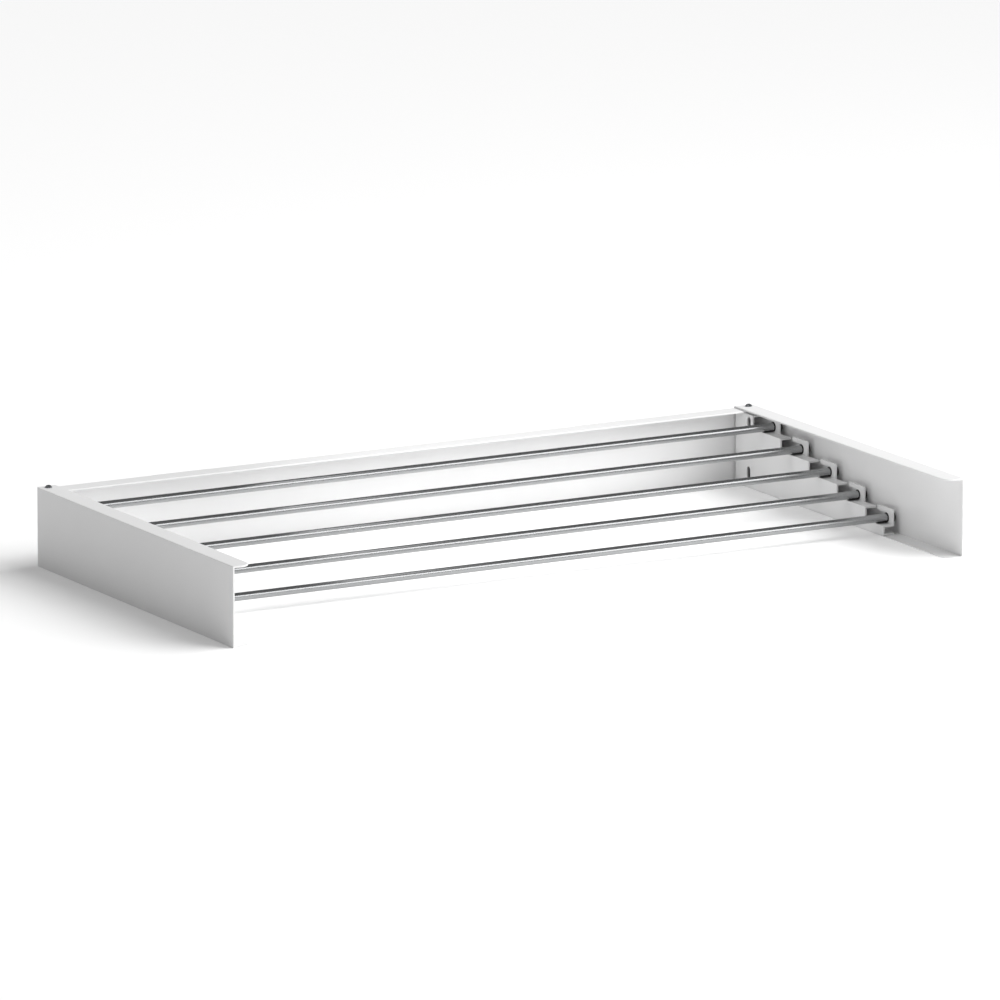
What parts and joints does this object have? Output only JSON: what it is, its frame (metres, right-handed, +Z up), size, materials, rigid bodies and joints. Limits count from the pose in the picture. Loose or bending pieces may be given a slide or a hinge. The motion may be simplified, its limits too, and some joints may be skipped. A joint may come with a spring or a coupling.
{
  "type": "wall mounted fold down drying rack",
  "caption": "Wall mounted frame of folded white channels with a staircase of round stainless drying rods; the frame folds up flat against the wall on hidden hinges.",
  "frame": {"origin": "centre of the wall plate's rear face, which lies on the wall", "axes": "+X along the rods to the right as seen from the room, +Y into the wall, +Z up; the rack stands out along -Y when folded down"},
  "size_m": [1.016, 0.5283, 0.1031],
  "materials": {
    "white_powder_coat": "semi-gloss white powder coat on folded sheet steel",
    "polished_stainless": "polished stainless tube",
    "zinc_plated_steel": "bright zinc plate",
    "hinge_steel": "satin steel",
    "black_nylon": "matt moulded nylon",
    "black_rubber": "matt rubber"
  },
  "bodies": {
    "wall_mount": {"left_bumper": "black_rubber", "left_bumper_screw": "zinc_plated_steel", "left_hinge_nut": "zinc_plated_steel", "left_hinge_pin": "zinc_plated_steel", "left_hinge_wall_leaf": "hinge_steel", "left_hinge_washer_1": "black_nylon", "left_hinge_washer_2": "black_nylon", "right_bumper": "black_rubber", "right_bumper_screw": "zinc_plated_steel", "right_hinge_nut": "zinc_plated_steel", "right_hinge_pin": "zinc_plated_steel", "right_hinge_wall_leaf": "hinge_steel", "right_hinge_washer_1": "black_nylon", "right_hinge_washer_2": "black_nylon", "wall_plate": "white_powder_coat"},
    "rack_frame": {"drying_rod_1": "polished_stainless", "drying_rod_2": "polished_stainless", "drying_rod_3": "polished_stainless", "drying_rod_4": "polished_stainless", "drying_rod_5": "polished_stainless", "left_arm": "white_powder_coat", "left_corner_nut": "zinc_plated_steel", "left_corner_rivet": "zinc_plated_steel", "left_corner_screw": "zinc_plated_steel", "left_foot_rivet_1": "zinc_plated_steel", "left_foot_rivet_2": "zinc_plated_steel", "left_hinge_frame_leaf": "hinge_steel", "left_rod_clip_1": "black_nylon", "left_rod_clip_2": "black_nylon", "left_rod_clip_3": "black_nylon", "left_rod_clip_4": "black_nylon", "left_rod_clip_5": "black_nylon", "left_rod_plug_1": "black_nylon", "left_rod_plug_2": "black_nylon", "left_rod_plug_3": "black_nylon", "left_rod_plug_4": "black_nylon", "left_rod_plug_5": "black_nylon", "left_stair_bracket": "white_powder_coat", "rear_rail": "white_powder_coat", "right_arm": "white_powder_coat", "right_corner_nut": "zinc_plated_steel", "right_corner_rivet": "zinc_plated_steel", "right_corner_screw": "zinc_plated_steel", "right_foot_rivet_1": "zinc_plated_steel", "right_foot_rivet_2": "zinc_plated_steel", "right_hinge_frame_leaf": "hinge_steel", "right_rod_clip_1": "black_nylon", "right_rod_clip_2": "black_nylon", "right_rod_clip_3": "black_nylon", "right_rod_clip_4": "black_nylon", "right_rod_clip_5": "black_nylon", "right_rod_plug_1": "black_nylon", "right_rod_plug_2": "black_nylon", "right_rod_plug_3": "black_nylon", "right_rod_plug_4": "black_nylon", "right_rod_plug_5": "black_nylon", "right_stair_bracket": "white_powder_coat"}
  },
  "joints": [
    {"name": "fold_hinge", "type": "hinge", "parent": "wall_mount", "child": "rack_frame", "pos_m": [0, -0.0145, 0.0395], "axis": [-1, 0, 0], "range_deg": [0, 90]}
  ]
}
